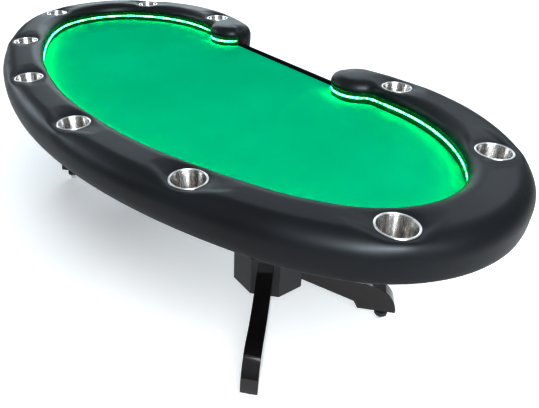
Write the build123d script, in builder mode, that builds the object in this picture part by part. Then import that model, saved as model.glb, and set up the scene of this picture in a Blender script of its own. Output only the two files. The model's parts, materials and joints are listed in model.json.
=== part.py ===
"""Oval poker table: padded C-shaped rail with a lit inner wall, drop-in cups and two pedestals.

Frame: +X along the length, +Y towards the dealer gap, +Z up, origin on the floor under the
middle of the table. Millimetres.
"""

from build123d import *
import os
from math import asin, atan2, cos, degrees, radians, sin, sqrt

# ---- plan of the rail: tangent arcs from the front point round to the furthest back ----
FRONT_ARCS = [(1910, 27.5), (825, 14.5), (433, 88.0), (655, 50.0)]  # radius, turn in degrees
PAD_WIDTH = 151
BULB_RADIUS = 93  # rounded rail end beside the dealer gap
BULB_X = 396
BULB_SETBACK = 23  # how far the bulbs' backs lie in front of the rail's furthest back
CROOK_RADIUS = 40  # hollow where a bulb runs into the inner side of the rail

# ---- heights ----
TABLE_HEIGHT = 762
LIP_BOTTOM = 726
CLOTH_TOP = 688
SKIRT_BOTTOM = 658
CLOTH_T = 1
UNDERLAY_T = 3
BOARD_T = 18
BATTEN_H = 40
PLATE_T = 18
DRUM_BOTTOM = 137
DRUM_TOP = 283
FOOT_HEIGHT = 55

# ---- rail layers ----
SKIRT_T = 11  # padding over the outer side of the core
LIP = 3  # the pad overhangs the inner wall by this much
GAP = 0.5  # clearance round soft pieces
PAD_ROUND = 34
GROOVE_T = 2.4
GROOVE_LOW = 703.5
GROOVE_HIGH = 712.5
STRIP_T = 2
STRIP_CLEAR = 0.5
STRIP_END_Y = 446

# ---- dealer gap ----
CLOTH_BACK = 450  # y of the cloth's straight back edge
TRIM_WIDTH = 33
TRIM_RISE = 2
TRIM_DROP = 24

# ---- cups: distance along the rim from the front point, and distance in from the edge ----
CUP_STATIONS = [(232, 76), (717, 78), (1248, 75), (1866, 82), (2417, 90.5)]
CUP_RIM_RADIUS = 48.6
CUP_RADIUS = 44
CUP_FOOT_RADIUS = 41
CUP_WALL = 1
CUP_RIM_TOP = 757.5
CUP_RIM_T = 1.8
CUP_BOTTOM = 691
CUP_HOLE_RADIUS = 45
CUP_SEAT_RADIUS = 49.5

# ---- pedestals ----
HUB_X = 485
HUB_Y = 37
DRUM_AF = 233  # across flats
DRUM_WALL = 16
COLUMN_AF = 150
COLUMN_WALL = 12
PLATE_LENGTH = 420
PLATE_WIDTH = 400
SLIP = 0.2  # clearance of pieces that slide together on assembly

# ---- legs, in a side view: distance out from the pedestal's axis, and height ----
LEG_T = 53
LEG_ROOT_TOP = 272
LEG_ROOT_BOTTOM = 150
LEG_ANKLE = (300, 84)
LEG_NOTCH = 314
HEEL_CENTRE = 331
HEEL_RADIUS = 110
LEVELER_REACH = 398
LEG_ANKLE_ROUND = 18
LEG_EDGE_BREAK = 1.2

# ---- levelers ----
STEM_RADIUS = 5
STEM_TOP = 80
STEM_BORE_TOP = 84
GLIDE_RADIUS = 13
GLIDE_H = 24
KNOB_RADIUS = 22
KNOB_TOP = 40
COLLAR_RADIUS = 8.5  # the collar meets the leg when the foot is screwed right in
RUNNING = 0.06  # radial clearance of threads that turn

# ---- underframe ----
BATTEN_LENGTH = 1500
BATTEN_WIDTH = 60
BATTEN_Y = {"batten_front": HUB_Y - 150, "batten_back": HUB_Y + 150}
CROSS_WIDTH = 50
CROSS_X = [-HUB_X - 160, -HUB_X + 160, HUB_X - 160, HUB_X + 160]
BATTEN_SCREW_X = [-725, -235, 0, 235, 725]
PLATE_SCREW_REACH = 180

# ---- fasteners ----
BOLT_RADIUS = 4
BOLT_HEAD_RADIUS = 7.5
BOLT_HEAD_H = 5
BOLT_STATIONS = [0, 475, 982, 1557, 2139]  # along the rim, between the cups
BOLT_INSET = 76
INSERT_RADIUS = 8
INSERT_LENGTH = 24
SCREW_RADIUS = 2.5
SCREW_HEAD_RADIUS = 5
SCREW_HEAD_H = 3
SCREW_BITE = 14  # into the board
PLATE_SCREW_BITE = 22
TRIM_SCREW_X = [-240, -80, 80, 240]
TRIM_SCREW_BITE = 25
LEG_BOLT_Z = [178, 220]

# ---- light controller ----
CASE_LENGTH = 110
CASE_WIDTH = 60
CASE_H = 24
CASE_WALL = 2
CASE_Y = 300
CIRCUIT_T = 2
CIRCUIT_Z = 652
INLET_SIDE = 16
INLET_RADIUS = 4
INLET_DEPTH = 14

os.makedirs("parts", exist_ok=True)

cloth_bottom = CLOTH_TOP - CLOTH_T
board_top = cloth_bottom - UNDERLAY_T
board_bottom = board_top - BOARD_T
batten_bottom = board_bottom - BATTEN_H
plate_bottom = batten_bottom - PLATE_T


def rim_arcs():
    """The outline's arcs on the +X side: centre, radius, heading at the start and turn, in degrees."""
    arcs = []
    x = y = heading = 0
    for radius, turn in FRONT_ARCS:
        cx = x - radius * sin(radians(heading))
        cy = y + radius * cos(radians(heading))
        arcs.append((cx, cy, radius, heading, turn))
        heading += turn
        x = cx + radius * sin(radians(heading))
        y = cy - radius * cos(radians(heading))
    depth = y
    return [(cx, cy - depth / 2, r, h, t) for cx, cy, r, h, t in arcs], x, depth / 2


ARCS, SHOULDER_X, BACK_Y = rim_arcs()
BULB_Y = BACK_Y - BULB_SETBACK - BULB_RADIUS
INNER_Y = BACK_Y - PAD_WIDTH
CROOK_Y = INNER_Y - CROOK_RADIUS
CROOK_X = BULB_X + sqrt((BULB_RADIUS + CROOK_RADIUS) ** 2 - (BULB_Y - CROOK_Y) ** 2)
CROOK_ANGLE = degrees(asin((BULB_Y - CROOK_Y) / (BULB_RADIUS + CROOK_RADIUS)))
# the outline sweeps in from the furthest back to the bulbs along an arc tangent to both
SWEEP_RADIUS = (
    (SHOULDER_X - BULB_X) ** 2 + (BACK_Y - BULB_Y) ** 2 - BULB_RADIUS**2
) / (2 * BULB_SETBACK)
SWEEP_TURN = degrees(asin((SHOULDER_X - BULB_X) / (SWEEP_RADIUS - BULB_RADIUS)))


def rim_point(distance, inset):
    """Point at a distance along the outline from the front, moved in by inset, on the +X side."""
    for cx, cy, radius, heading, turn in ARCS:
        length = radius * radians(turn)
        if distance <= length:
            angle = radians(heading) + distance / radius
            return cx + (radius - inset) * sin(angle), cy - (radius - inset) * cos(angle)
        distance -= length
    angle = distance / SWEEP_RADIUS
    radius = SWEEP_RADIUS - inset
    return SHOULDER_X - radius * sin(angle), BACK_Y - SWEEP_RADIUS + radius * cos(angle)


def draw_arcs(inset):
    """The outline's arcs on the +X side, moved in by inset. Call it inside BuildLine."""
    for cx, cy, radius, heading, turn in ARCS:
        CenterArc((cx, cy), radius - inset, heading - 90, turn)


def draw_back(inset, bulb_turn):
    """The outline's sweep to a bulb and the start of the bulb, on the +X side, moved in by inset.
    The bulb is drawn to bulb_turn degrees past +Y. Call it inside BuildLine."""
    CenterArc((SHOULDER_X, BACK_Y - SWEEP_RADIUS), SWEEP_RADIUS - inset, 90, SWEEP_TURN)
    CenterArc((BULB_X, BULB_Y), BULB_RADIUS - inset, 90 + SWEEP_TURN, bulb_turn - SWEEP_TURN)


def oval_face(inset):
    """The whole oval, moved in by inset."""
    with BuildSketch() as oval:
        with BuildLine():
            draw_arcs(inset)
            Line((SHOULDER_X, BACK_Y - inset), (0, BACK_Y - inset))
            mirror(about=Plane.YZ)
        make_face()
    return oval.sketch


def rail_face(inset):
    """The C-shaped rail, shrunk by inset all round."""
    with BuildSketch() as rail:
        with BuildLine():
            draw_arcs(inset)
            draw_back(inset, 270 - CROOK_ANGLE)
            CenterArc((CROOK_X, CROOK_Y), CROOK_RADIUS + inset, 180 - CROOK_ANGLE, CROOK_ANGLE - 90)
            Line((CROOK_X, INNER_Y + inset), (SHOULDER_X, INNER_Y + inset))
            draw_arcs(PAD_WIDTH - inset)
            mirror(about=Plane.YZ)
        make_face()
    return rail.sketch


def board_face(inset):
    """The playing board: the oval, cut straight across the dealer gap between the bulbs."""
    bulb = BULB_RADIUS - inset
    dip = asin((BULB_Y - CLOTH_BACK) / bulb)
    with BuildSketch() as board:
        with BuildLine():
            draw_arcs(inset)
            draw_back(inset, 90 + degrees(dip))
            Line((BULB_X - bulb * cos(dip), CLOTH_BACK), (0, CLOTH_BACK))
            mirror(about=Plane.YZ)
        make_face()
    return board.sketch


def wall_zone(end_y):
    """The part of the plan where the rail shows its inner wall, not its padded side."""
    with BuildSketch() as zone:
        add(oval_face(PAD_WIDTH / 2))
        with Locations((0, end_y)):
            Rectangle(2 * BULB_X, PAD_WIDTH, align=(Align.CENTER, Align.MIN), mode=Mode.SUBTRACT)
    return zone.sketch


def band_face(outer_inset, inner_inset, end_y=CLOTH_BACK + GAP):
    """A band along the rail's inner wall, between two insets, ending at end_y in the dealer gap."""
    with BuildSketch() as band:
        add(rail_face(outer_inset))
        add(rail_face(inner_inset), mode=Mode.SUBTRACT)
        add(wall_zone(end_y), mode=Mode.INTERSECT)
    return band.sketch


def both_sides(points):
    """Points and their mirror images across the table's middle, without doubling those on it."""
    return points + [(-x, y) for x, y in points if abs(x) > 1]


def upright(x, y):
    """A vertical work plane through (x, y), with its own Y up."""
    return Plane((x, y, 0), x_dir=(1, 0, 0), z_dir=(0, -1, 0))


def leg_plane(hub_x, bearing, reach):
    """A vertical plane that faces out along a leg, reach from its pedestal's axis, with its own Y up."""
    out = (cos(radians(bearing)), sin(radians(bearing)), 0)
    origin = (hub_x + reach * out[0], HUB_Y + reach * out[1], 0)
    return Plane(origin, x_dir=(-out[1], out[0], 0), z_dir=out)


def save(piece, name):
    """Labels a finished piece and writes it."""
    piece.part.label = name
    export_step(piece.part, f"parts/{name}.step")


def screws_up(points, head_bottom, length):
    """Upright round-headed screws with their heads below, as one group. Length is under the head."""
    with BuildPart() as group:
        with BuildSketch(Plane.XY.offset(head_bottom)):
            with Locations(*points):
                Circle(SCREW_HEAD_RADIUS)
        extrude(amount=SCREW_HEAD_H)
        with BuildSketch(Plane.XY.offset(head_bottom + SCREW_HEAD_H)):
            with Locations(*points):
                Circle(SCREW_RADIUS)
        extrude(amount=length)
    return group


def octagon(across_flats):
    """A regular octagon with flats square to X, Y and both diagonals. Call it inside BuildSketch."""
    RegularPolygon(across_flats / 2, 8, major_radius=False, rotation=22.5)


cup_points = both_sides([rim_point(s, inset) for s, inset in CUP_STATIONS])
bolt_points = both_sides([rim_point(s, BOLT_INSET) for s in BOLT_STATIONS])
batten_screw_at = [(x, y) for y in BATTEN_Y.values() for x in BATTEN_SCREW_X]
batten_screw_at += [(x, HUB_Y) for x in CROSS_X]
plate_screw_at = [
    (hub_x + reach, y)
    for hub_x in (-HUB_X, HUB_X)
    for reach in (-PLATE_SCREW_REACH, 0, PLATE_SCREW_REACH)
    for y in BATTEN_Y.values()
]
SIDES = {"left": -1, "right": 1}
LEG_WAYS = {
    f"{depth}_{side}": (side_sign * HUB_X, degrees(atan2(depth_sign, side_sign)))
    for side, side_sign in SIDES.items()
    for depth, depth_sign in (("front", -1), ("back", 1))
}  # pedestal's x and the leg's bearing in plan

# ---------------------------------------------------------------- rail
with BuildPart() as rail_pad:
    with BuildSketch(Plane.XY.offset(SKIRT_BOTTOM)):
        add(rail_face(0))
    extrude(amount=TABLE_HEIGHT - SKIRT_BOTTOM)
    fillet(rail_pad.faces().sort_by(Axis.Z)[-1].edges(), radius=PAD_ROUND)
    with BuildSketch(Plane.XY.offset(SKIRT_BOTTOM)):
        add(rail_face(SKIRT_T))
        add(band_face(0, SKIRT_T + 1))
    extrude(amount=LIP_BOTTOM - SKIRT_BOTTOM, mode=Mode.SUBTRACT)
    with BuildSketch(Plane.XY.offset(LIP_BOTTOM)):
        with Locations(*cup_points):
            Circle(CUP_HOLE_RADIUS)
    extrude(amount=TABLE_HEIGHT - LIP_BOTTOM, mode=Mode.SUBTRACT)
    with BuildSketch(Plane.XY.offset(CUP_RIM_TOP - CUP_RIM_T)):
        with Locations(*cup_points):
            Circle(CUP_SEAT_RADIUS)
    extrude(amount=TABLE_HEIGHT, mode=Mode.SUBTRACT)
save(rail_pad, "rail_pad")

with BuildPart() as rail_core:
    with BuildSketch(Plane.XY.offset(CLOTH_TOP)):
        add(rail_face(SKIRT_T + GAP))
        with Locations(*cup_points):
            Circle(CUP_HOLE_RADIUS, mode=Mode.SUBTRACT)
    extrude(amount=LIP_BOTTOM - GAP - CLOTH_TOP)
    with BuildSketch(Plane.XY.offset(CLOTH_TOP)):
        with Locations(*bolt_points):
            Circle(INSERT_RADIUS)
    extrude(amount=INSERT_LENGTH, mode=Mode.SUBTRACT)
save(rail_core, "rail_core")

with BuildPart() as rail_fascia:
    with BuildSketch(Plane.XY.offset(CLOTH_TOP)):
        add(band_face(LIP, SKIRT_T + GAP))
    extrude(amount=LIP_BOTTOM - GAP - CLOTH_TOP)
    with BuildSketch(Plane.XY.offset(GROOVE_LOW)):
        add(band_face(LIP, LIP + GROOVE_T, STRIP_END_Y + GAP))
    extrude(amount=GROOVE_HIGH - GROOVE_LOW, mode=Mode.SUBTRACT)
save(rail_fascia, "rail_fascia")

with BuildPart() as led_strip:
    with BuildSketch(Plane.XY.offset(GROOVE_LOW + STRIP_CLEAR)):
        add(band_face(LIP + SLIP, LIP + SLIP + STRIP_T, STRIP_END_Y))
    extrude(amount=GROOVE_HIGH - GROOVE_LOW - 2 * STRIP_CLEAR)
save(led_strip, "led_strip")

with BuildPart() as rail_inserts:
    with BuildSketch(Plane.XY.offset(CLOTH_TOP)):
        with Locations(*bolt_points):
            Circle(INSERT_RADIUS)
            Circle(BOLT_RADIUS + RUNNING, mode=Mode.SUBTRACT)
    extrude(amount=INSERT_LENGTH)
save(rail_inserts, "rail_inserts")

with BuildPart() as rail_bolts:
    with BuildSketch(Plane.XY.offset(board_bottom - BOLT_HEAD_H)):
        with Locations(*bolt_points):
            RegularPolygon(BOLT_HEAD_RADIUS, 6)
    extrude(amount=BOLT_HEAD_H)
    with BuildSketch(Plane.XY.offset(board_bottom)):
        with Locations(*bolt_points):
            Circle(BOLT_RADIUS)
    extrude(amount=CLOTH_TOP + INSERT_LENGTH - board_bottom - 2)
save(rail_bolts, "rail_bolts")

# ---------------------------------------------------------------- cups
for number, (x, y) in enumerate(cup_points, start=1):
    with BuildPart() as cup_holder:
        with BuildSketch(upright(x, y)):
            with BuildLine():
                Polyline(
                    (0, CUP_BOTTOM),
                    (CUP_FOOT_RADIUS, CUP_BOTTOM),
                    (CUP_RADIUS, CUP_RIM_TOP - CUP_RIM_T),
                    (CUP_RIM_RADIUS, CUP_RIM_TOP - CUP_RIM_T),
                    (CUP_RIM_RADIUS, CUP_RIM_TOP - CUP_RIM_T / 2),
                    (CUP_RADIUS + CUP_RIM_T / 2, CUP_RIM_TOP),
                    (CUP_RADIUS - CUP_WALL, CUP_RIM_TOP - CUP_RIM_T / 2),
                    (CUP_FOOT_RADIUS - CUP_WALL, CUP_BOTTOM + CUP_WALL),
                    (0, CUP_BOTTOM + CUP_WALL),
                    close=True,
                )
            make_face()
        revolve(axis=Axis((x, y, 0), (0, 0, 1)))
    save(cup_holder, f"cup_holder_{number}")

# ---------------------------------------------------------------- playing surface
with BuildPart() as speed_cloth:
    with BuildSketch(Plane.XY.offset(cloth_bottom)):
        add(board_face(SKIRT_T + 2))
        with Locations(*bolt_points):
            Circle(BOLT_RADIUS + GAP, mode=Mode.SUBTRACT)
    extrude(amount=CLOTH_T)
save(speed_cloth, "speed_cloth")

with BuildPart() as cloth_underlay:
    with BuildSketch(Plane.XY.offset(board_top)):
        add(board_face(SKIRT_T + 2))
        with Locations(*bolt_points):
            Circle(BOLT_RADIUS + GAP, mode=Mode.SUBTRACT)
    extrude(amount=UNDERLAY_T)
save(cloth_underlay, "cloth_underlay")

trim_screw_at = [(x, board_bottom + BOARD_T / 2) for x in TRIM_SCREW_X]
with BuildPart() as playfield_board:
    with BuildSketch(Plane.XY.offset(board_bottom)):
        add(board_face(SKIRT_T + GAP))
        with Locations(*bolt_points):
            Circle(BOLT_RADIUS + RUNNING, mode=Mode.SUBTRACT)
    extrude(amount=BOARD_T)
    with BuildSketch(Plane.XY.offset(board_bottom)):
        with Locations(*batten_screw_at):
            Circle(SCREW_RADIUS)
    extrude(amount=SCREW_BITE, mode=Mode.SUBTRACT)
    with BuildSketch(Plane.XZ.offset(-CLOTH_BACK)):
        with Locations(*trim_screw_at):
            Circle(SCREW_RADIUS)
    extrude(amount=TRIM_SCREW_BITE, mode=Mode.SUBTRACT)
save(playfield_board, "playfield_board")

trim_bottom = CLOTH_TOP + TRIM_RISE - TRIM_DROP
with BuildPart() as dealer_trim:
    with BuildSketch(Plane.XY.offset(trim_bottom)):
        with Locations((0, CLOTH_BACK)):
            Rectangle(2 * BULB_X, TRIM_WIDTH, align=(Align.CENTER, Align.MIN))
        with Locations((BULB_X, BULB_Y), (-BULB_X, BULB_Y)):
            Circle(BULB_RADIUS + GAP, mode=Mode.SUBTRACT)
    extrude(amount=TRIM_DROP)
    with BuildSketch(Plane.XZ.offset(-CLOTH_BACK)):
        with Locations(*trim_screw_at):
            Circle(SCREW_RADIUS + SLIP)
    extrude(amount=-TRIM_WIDTH, mode=Mode.SUBTRACT)
    with BuildSketch(Plane.XZ.offset(-CLOTH_BACK - TRIM_WIDTH)):
        with Locations(*trim_screw_at):
            Circle(SCREW_HEAD_RADIUS + SLIP)
    extrude(amount=SCREW_HEAD_H + SLIP, mode=Mode.SUBTRACT)
    back_edges = dealer_trim.edges().filter_by(Axis.X).group_by(Axis.Y)[-1]
    fillet(back_edges, radius=3)
save(dealer_trim, "dealer_trim")

with BuildPart() as trim_screws:
    with BuildSketch(Plane.XZ.offset(-CLOTH_BACK - TRIM_WIDTH + SCREW_HEAD_H)):
        with Locations(*trim_screw_at):
            Circle(SCREW_RADIUS)
    extrude(amount=TRIM_WIDTH - SCREW_HEAD_H + TRIM_SCREW_BITE - 1)
    with BuildSketch(Plane.XZ.offset(-CLOTH_BACK - TRIM_WIDTH)):
        with Locations(*trim_screw_at):
            Circle(SCREW_HEAD_RADIUS)
    extrude(amount=SCREW_HEAD_H)
save(trim_screws, "trim_screws")

# ---------------------------------------------------------------- underframe
for name, y in BATTEN_Y.items():
    screw_at = [(x, y) for x in BATTEN_SCREW_X]
    with BuildPart() as batten:
        with BuildSketch(Plane.XY.offset(batten_bottom)):
            with Locations((0, y)):
                Rectangle(BATTEN_LENGTH, BATTEN_WIDTH)
            with Locations(*screw_at):
                Circle(SCREW_RADIUS, mode=Mode.SUBTRACT)
        extrude(amount=BATTEN_H)
        with BuildSketch(Plane.XY.offset(batten_bottom)):
            with Locations(*screw_at):
                Circle(SCREW_HEAD_RADIUS)
        extrude(amount=SCREW_HEAD_H, mode=Mode.SUBTRACT)
        with BuildSketch(Plane.XY.offset(batten_bottom)):
            with Locations(*[point for point in plate_screw_at if point[1] == y]):
                Circle(SCREW_RADIUS)
        extrude(amount=PLATE_SCREW_BITE, mode=Mode.SUBTRACT)
    save(batten, name)

cross_length = BATTEN_Y["batten_back"] - BATTEN_Y["batten_front"] - BATTEN_WIDTH
for number, x in enumerate(CROSS_X, start=1):
    with BuildPart() as cross_batten:
        with BuildSketch(Plane.XY.offset(batten_bottom)):
            with Locations((x, HUB_Y)):
                Rectangle(CROSS_WIDTH, cross_length)
                Circle(SCREW_RADIUS, mode=Mode.SUBTRACT)
        extrude(amount=BATTEN_H)
        with BuildSketch(Plane.XY.offset(batten_bottom)):
            with Locations((x, HUB_Y)):
                Circle(SCREW_HEAD_RADIUS)
        extrude(amount=SCREW_HEAD_H, mode=Mode.SUBTRACT)
    save(cross_batten, f"cross_batten_{number}")

batten_screws = screws_up(batten_screw_at, batten_bottom, BATTEN_H - SCREW_HEAD_H + SCREW_BITE)
save(batten_screws, "batten_screws")

# ---------------------------------------------------------------- light controller
case_bottom = board_bottom - CASE_H
case_back = CASE_Y + CASE_WIDTH / 2
inlet_z = case_bottom + INLET_SIDE / 2 + CASE_WALL
with BuildPart() as controller_case:
    with BuildSketch(Plane.XY.offset(case_bottom)):
        with Locations((0, CASE_Y)):
            RectangleRounded(CASE_LENGTH, CASE_WIDTH, 4)
    extrude(amount=CASE_H)
    with BuildSketch(Plane.XY.offset(case_bottom + CASE_WALL)):
        with Locations((0, CASE_Y)):
            RectangleRounded(CASE_LENGTH - 2 * CASE_WALL, CASE_WIDTH - 2 * CASE_WALL, 2)
    extrude(amount=CASE_H, mode=Mode.SUBTRACT)
    with BuildSketch(Plane.XZ.offset(-case_back)):
        with Locations((0, inlet_z)):
            Rectangle(INLET_SIDE, INLET_SIDE)
    extrude(amount=CASE_WALL, mode=Mode.SUBTRACT)
save(controller_case, "controller_case")

with BuildPart() as controller_circuit:
    with BuildSketch(Plane.XY.offset(CIRCUIT_Z)):
        with Locations((0, CASE_Y - INLET_DEPTH / 2)):
            Rectangle(CASE_LENGTH - 3 * CASE_WALL, CASE_WIDTH - INLET_DEPTH - 3 * CASE_WALL)
    extrude(amount=CIRCUIT_T)
save(controller_circuit, "controller_circuit")

with BuildPart() as power_inlet:
    with BuildSketch(Plane.XZ.offset(-case_back)):
        with Locations((0, inlet_z)):
            Rectangle(INLET_SIDE, INLET_SIDE)
    extrude(amount=INLET_DEPTH)
    with BuildSketch(Plane.XZ.offset(-case_back)):
        with Locations((0, inlet_z)):
            Circle(INLET_RADIUS)
    extrude(amount=INLET_DEPTH - CASE_WALL, mode=Mode.SUBTRACT)
save(power_inlet, "power_inlet")

# ---------------------------------------------------------------- pedestals
for side, sign in SIDES.items():
    hub = (sign * HUB_X, HUB_Y)

    with BuildPart() as top_plate:
        with BuildSketch(Plane.XY.offset(plate_bottom)):
            with Locations(hub):
                RectangleRounded(PLATE_LENGTH, PLATE_WIDTH, 12)
            with Locations(*[point for point in plate_screw_at if point[0] * sign > 0]):
                Circle(SCREW_RADIUS, mode=Mode.SUBTRACT)
        extrude(amount=PLATE_T)
    save(top_plate, f"top_plate_{side}")

    with BuildPart() as column:
        with BuildSketch(Plane.XY.offset(DRUM_BOTTOM + DRUM_WALL)):
            with Locations(hub):
                octagon(COLUMN_AF)
        extrude(amount=plate_bottom - DRUM_BOTTOM - DRUM_WALL)
        with BuildSketch(Plane.XY.offset(DRUM_BOTTOM + DRUM_WALL)):
            with Locations(hub):
                octagon(COLUMN_AF - 2 * COLUMN_WALL)
        extrude(amount=plate_bottom, mode=Mode.SUBTRACT)
    save(column, f"column_{side}")

    leg_ways = [way for way in LEG_WAYS.values() if way[0] == hub[0]]
    with BuildPart() as drum:
        with BuildSketch(Plane.XY.offset(DRUM_BOTTOM)):
            with Locations(hub):
                octagon(DRUM_AF)
        extrude(amount=DRUM_TOP - DRUM_BOTTOM)
        fillet(drum.edges().filter_by(Axis.Z), radius=1.5)
        chamfer(drum.faces().filter_by(Axis.Z).edges(), length=1)
        with BuildSketch(Plane.XY.offset(DRUM_BOTTOM)):
            with Locations(hub):
                octagon(DRUM_AF - 2 * DRUM_WALL)
        extrude(amount=DRUM_TOP - DRUM_BOTTOM, mode=Mode.SUBTRACT)
        for hub_x, bearing in leg_ways:
            with BuildSketch(leg_plane(hub_x, bearing, DRUM_AF / 2)):
                with Locations(*[(0, z) for z in LEG_BOLT_Z]):
                    Circle(BOLT_RADIUS + RUNNING)
            extrude(amount=-DRUM_WALL, mode=Mode.SUBTRACT)
    save(drum, f"drum_{side}")

    for name, bottom, hole_af in (
        ("drum_base", DRUM_BOTTOM, None),
        ("drum_cap", DRUM_TOP - DRUM_WALL, COLUMN_AF + 2 * SLIP),
    ):
        with BuildPart() as closing_plate:
            with BuildSketch(Plane.XY.offset(bottom)):
                with Locations(hub):
                    octagon(DRUM_AF - 2 * DRUM_WALL - 2 * SLIP)
            extrude(amount=DRUM_WALL)
            if hole_af:
                with BuildSketch(Plane.XY.offset(bottom)):
                    with Locations(hub):
                        octagon(hole_af)
                extrude(amount=DRUM_WALL, mode=Mode.SUBTRACT)
        save(closing_plate, f"{name}_{side}")

plate_screws = screws_up(plate_screw_at, plate_bottom - SCREW_HEAD_H, PLATE_T + PLATE_SCREW_BITE)
save(plate_screws, "plate_screws")

# ---------------------------------------------------------------- legs and levelers
for name, (hub_x, bearing) in LEG_WAYS.items():
    out = (cos(radians(bearing)), sin(radians(bearing)))
    foot_at = (hub_x + LEVELER_REACH * out[0], HUB_Y + LEVELER_REACH * out[1])
    root = DRUM_AF / 2
    heel_back = HEEL_CENTRE + HEEL_RADIUS
    neck_rise = LEG_ROOT_TOP - FOOT_HEIGHT - HEEL_RADIUS
    neck_radius = ((HEEL_CENTRE - root) ** 2 + neck_rise**2) / (2 * neck_rise)
    neck_turn = degrees(asin((HEEL_CENTRE - root) / neck_radius))

    with BuildPart() as leg:
        side_view = Plane((hub_x, HUB_Y, 0), x_dir=(*out, 0), z_dir=(out[1], -out[0], 0))
        with BuildSketch(side_view):
            with BuildLine():
                Polyline(
                    (root, LEG_ROOT_TOP), (root, LEG_ROOT_BOTTOM), LEG_ANKLE,
                    (LEG_NOTCH, FOOT_HEIGHT), (heel_back, FOOT_HEIGHT),
                )
                CenterArc((HEEL_CENTRE, FOOT_HEIGHT), HEEL_RADIUS, 0, 90)
                neck_y = FOOT_HEIGHT + HEEL_RADIUS + neck_radius
                CenterArc((HEEL_CENTRE, neck_y), neck_radius, -90, -neck_turn)
            make_face()
            fillet(vertices().sort_by_distance(LEG_ANKLE)[0], radius=LEG_ANKLE_ROUND)
        extrude(amount=LEG_T / 2, both=True)
        flanks = leg.faces().sort_by(SortBy.AREA)[-2:]
        chamfer(flanks.edges().filter_by(Axis.Z, reverse=True), length=LEG_EDGE_BREAK)
        with BuildSketch(Plane.XY.offset(FOOT_HEIGHT)):
            with Locations(foot_at):
                Circle(INSERT_RADIUS)
        extrude(amount=INSERT_LENGTH, mode=Mode.SUBTRACT)
        with BuildSketch(Plane.XY.offset(FOOT_HEIGHT)):
            with Locations(foot_at):
                Circle(STEM_RADIUS + GAP)
        extrude(amount=STEM_BORE_TOP - FOOT_HEIGHT, mode=Mode.SUBTRACT)
        with BuildSketch(leg_plane(hub_x, bearing, root)):
            with Locations(*[(0, z) for z in LEG_BOLT_Z]):
                Circle(INSERT_RADIUS)
        extrude(amount=INSERT_LENGTH, mode=Mode.SUBTRACT)
        with BuildSketch(leg_plane(hub_x, bearing, root)):
            with Locations(*[(0, z) for z in LEG_BOLT_Z]):
                Circle(BOLT_RADIUS + GAP)
        extrude(amount=INSERT_LENGTH + 10, mode=Mode.SUBTRACT)
    save(leg, f"leg_{name}")

    with BuildPart() as leveler_screw:
        with BuildSketch(upright(*foot_at)):
            with BuildLine():
                Polyline(
                    (0, 0), (GLIDE_RADIUS - 4, 0), (GLIDE_RADIUS, 4), (GLIDE_RADIUS, GLIDE_H - 5),
                    (GLIDE_RADIUS - 3, GLIDE_H - 1), (GLIDE_RADIUS - 6, GLIDE_H),
                    (STEM_RADIUS, GLIDE_H), (STEM_RADIUS, KNOB_TOP), (COLLAR_RADIUS, KNOB_TOP),
                    (COLLAR_RADIUS, FOOT_HEIGHT), (STEM_RADIUS, FOOT_HEIGHT), (STEM_RADIUS, STEM_TOP - 1),
                    (STEM_RADIUS - 1, STEM_TOP), (0, STEM_TOP), close=True,
                )
            make_face()
        revolve(axis=Axis((*foot_at, 0), (0, 0, 1)))
    save(leveler_screw, f"leveler_screw_{name}")

    with BuildPart() as leveler_knob:
        with BuildSketch(Plane.XY.offset(GLIDE_H)):
            with Locations(foot_at):
                Circle(KNOB_RADIUS)
                Circle(STEM_RADIUS, mode=Mode.SUBTRACT)
        extrude(amount=KNOB_TOP - GLIDE_H)
        chamfer(leveler_knob.edges().filter_by(GeomType.CIRCLE).group_by(Edge.radius)[-1], length=2)
    save(leveler_knob, f"leveler_knob_{name}")

with BuildPart() as leg_inserts:
    for hub_x, bearing in LEG_WAYS.values():
        with BuildSketch(leg_plane(hub_x, bearing, DRUM_AF / 2)):
            with Locations(*[(0, z) for z in LEG_BOLT_Z]):
                Circle(INSERT_RADIUS)
                Circle(BOLT_RADIUS + RUNNING, mode=Mode.SUBTRACT)
        extrude(amount=INSERT_LENGTH)
save(leg_inserts, "leg_inserts")

with BuildPart() as leg_bolts:
    for hub_x, bearing in LEG_WAYS.values():
        wall = leg_plane(hub_x, bearing, DRUM_AF / 2 - DRUM_WALL)
        with BuildSketch(wall):
            with Locations(*[(0, z) for z in LEG_BOLT_Z]):
                RegularPolygon(BOLT_HEAD_RADIUS, 6)
        extrude(amount=-BOLT_HEAD_H)
        with BuildSketch(wall):
            with Locations(*[(0, z) for z in LEG_BOLT_Z]):
                Circle(BOLT_RADIUS)
        extrude(amount=DRUM_WALL + INSERT_LENGTH + 4)
save(leg_bolts, "leg_bolts")

with BuildPart() as leveler_inserts:
    with BuildSketch(Plane.XY.offset(FOOT_HEIGHT)):
        for hub_x, bearing in LEG_WAYS.values():
            reach = (LEVELER_REACH * cos(radians(bearing)), LEVELER_REACH * sin(radians(bearing)))
            with Locations((hub_x + reach[0], HUB_Y + reach[1])):
                Circle(INSERT_RADIUS)
                Circle(STEM_RADIUS + RUNNING, mode=Mode.SUBTRACT)
    extrude(amount=INSERT_LENGTH)
save(leveler_inserts, "leveler_inserts")
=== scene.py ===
import json
from math import acos, asin, ceil, cos, degrees, exp, hypot, pi, radians, sin, sqrt, tau

import bpy
import numpy as np
from mathutils import Matrix, Vector, noise
from mathutils.geometry import delaunay_2d_cdt
from mathutils.kdtree import KDTree


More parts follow.
